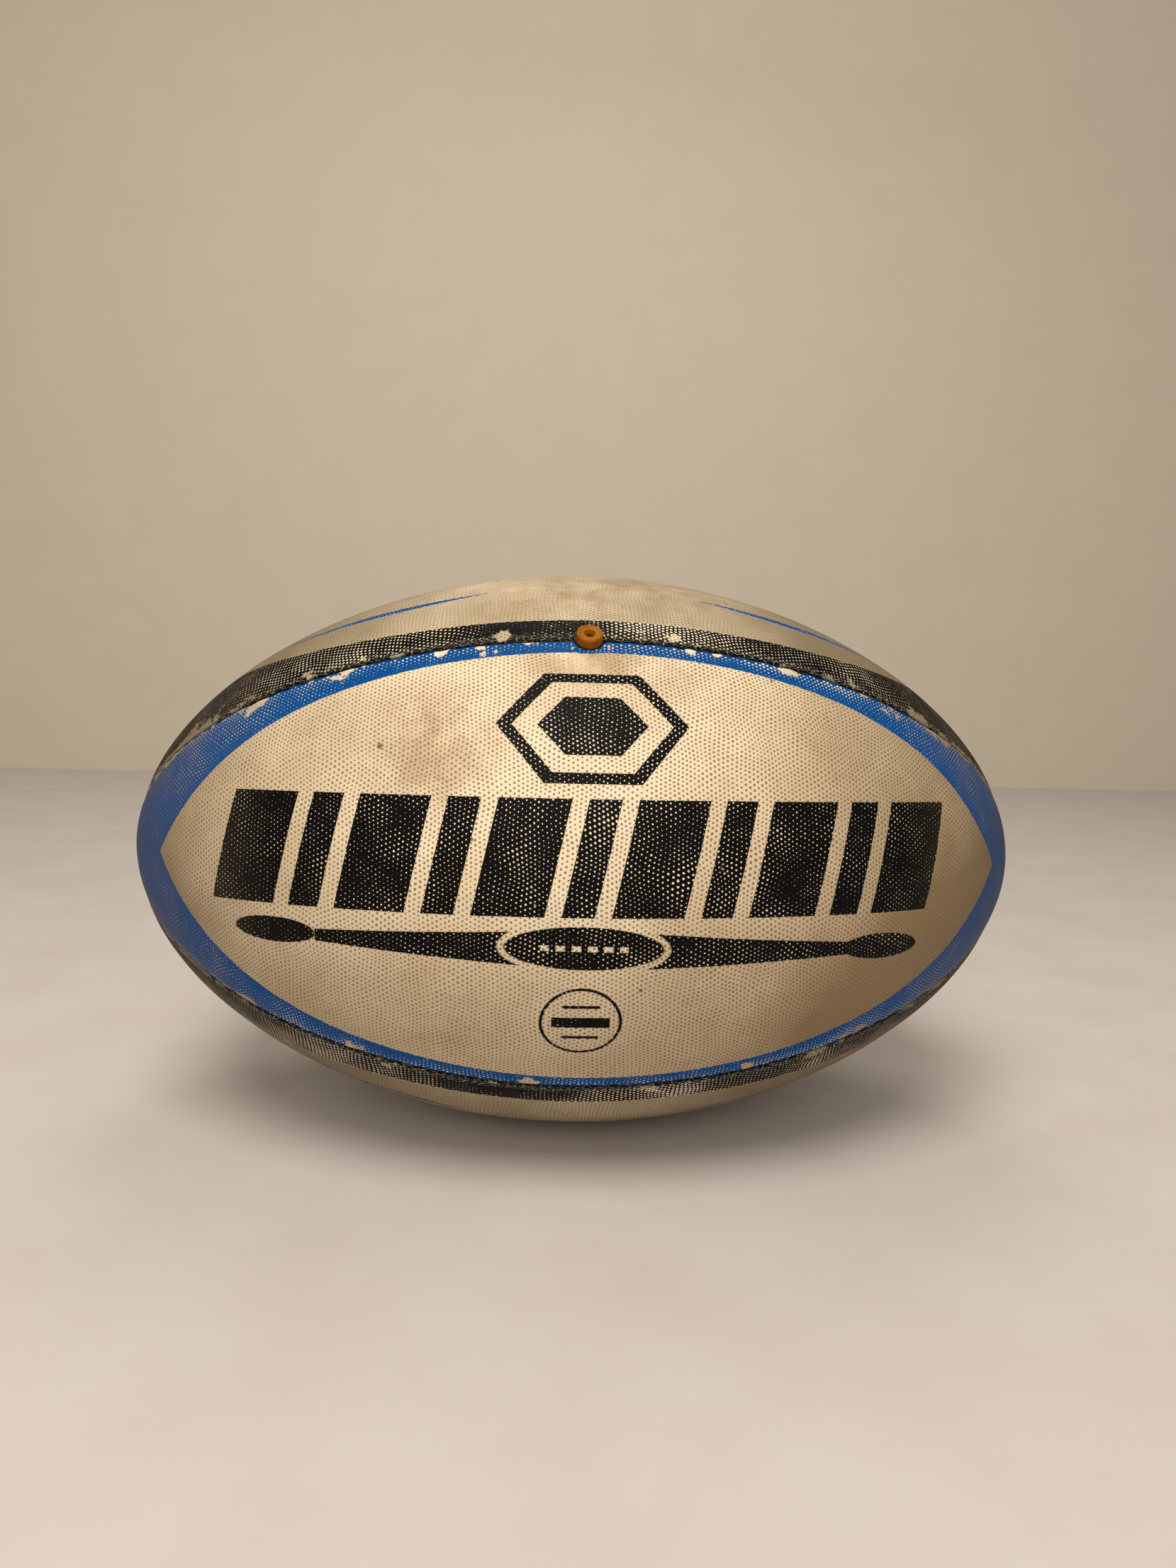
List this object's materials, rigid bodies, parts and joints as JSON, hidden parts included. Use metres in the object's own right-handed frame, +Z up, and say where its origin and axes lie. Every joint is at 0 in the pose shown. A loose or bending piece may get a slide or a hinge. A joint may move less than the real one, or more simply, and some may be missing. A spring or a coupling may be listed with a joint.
{
  "type": "rugby ball",
  "caption": "Long oval ball with pimpled rubber panels, inside-stitched seams, and a pull-out inflation valve in one seam.",
  "frame": {"origin": "centre of the ball", "axes": "+X along the ball towards its right tip, +Z up, the front faces -Y"},
  "size_m": [0.2998, 0.187, 0.187],
  "materials": {
    "pimpled_rubber": "matt, pimpled, printed and worn",
    "ply_fabric": "woven polyester and cotton, glued",
    "waxed_thread": "waxed",
    "bladder_rubber": "smooth",
    "patch_rubber": "smooth",
    "valve_rubber": "amber, satin"
  },
  "bodies": {
    "ball": {"cover_top": "pimpled_rubber", "cover_front": "pimpled_rubber", "cover_bottom": "pimpled_rubber", "cover_back": "pimpled_rubber", "outer_ply_top": "ply_fabric", "outer_ply_front": "ply_fabric", "outer_ply_bottom": "ply_fabric", "outer_ply_back": "ply_fabric", "inner_ply_top": "ply_fabric", "inner_ply_front": "ply_fabric", "inner_ply_bottom": "ply_fabric", "inner_ply_back": "ply_fabric", "thread_top_front": "waxed_thread", "thread_front_bottom": "waxed_thread", "thread_bottom_back": "waxed_thread", "thread_back_top": "waxed_thread", "bladder": "bladder_rubber", "valve_patch": "patch_rubber", "balance_patch": "patch_rubber", "valve_housing": "valve_rubber"},
    "valve_plug": {"valve_plug": "valve_rubber"}
  },
  "joints": [
    {"name": "valve_pull", "type": "slide", "parent": "ball", "child": "valve_plug", "axis": [0, -0.6481, 0.7615], "range_m": [0, 0.03]}
  ]
}
